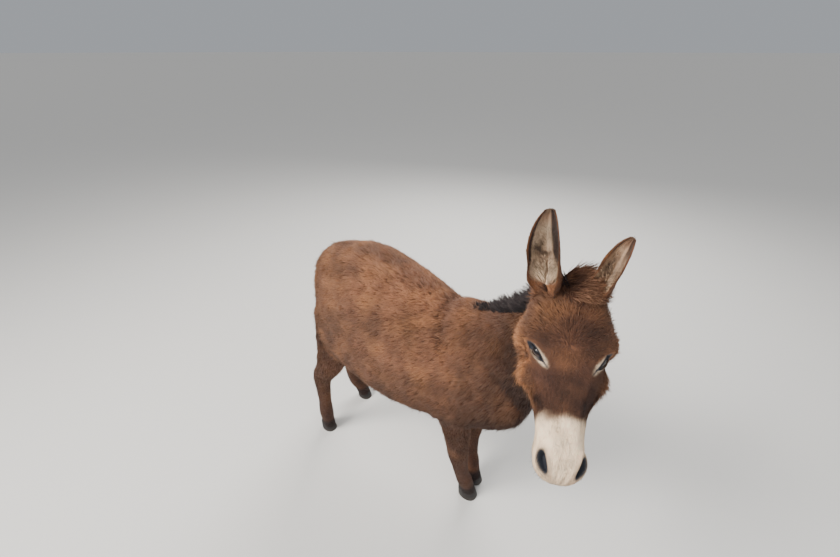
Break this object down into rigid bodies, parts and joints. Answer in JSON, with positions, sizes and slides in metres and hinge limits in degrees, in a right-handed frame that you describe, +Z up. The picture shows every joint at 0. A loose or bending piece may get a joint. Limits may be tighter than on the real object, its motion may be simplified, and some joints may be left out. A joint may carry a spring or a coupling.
{
  "type": "donkey",
  "caption": "Life-size standing donkey in a thick winter coat, head low and turned to its right, ears up.",
  "frame": {"origin": "on the ground, under the middle of the box round the whole animal", "axes": "+X towards the chest, +Y to the animal's left, +Z up"},
  "size_m": [1.2598, 0.624, 1.3897],
  "materials": {
    "coat": "thick reddish-brown winter fur, darker along the back",
    "dark_hair": "upright mane and tail switch, brown-black",
    "pale_coat": "short beige-white fur of the muzzle and lips",
    "eye": "wet dark brown",
    "hoof": "dull black horn"
  },
  "bodies": {
    "root": {"trunk": "coat", "neck": "coat", "head": "coat", "muzzle": "pale_coat", "lower_lip": "pale_coat", "eye_right": "eye", "eye_left": "eye", "ear_right": "coat", "ear_left": "coat", "mane": "dark_hair", "forelock": "coat", "tail_dock": "coat", "tail_switch": "dark_hair", "fore_right_upper": "coat", "fore_right_lower": "coat", "fore_right_hoof": "hoof", "fore_left_upper": "coat", "fore_left_lower": "coat", "fore_left_hoof": "hoof", "hind_right_upper": "coat", "hind_right_lower": "coat", "hind_right_hoof": "hoof", "hind_left_upper": "coat", "hind_left_lower": "coat", "hind_left_hoof": "hoof"}
  },
  "joints": []
}
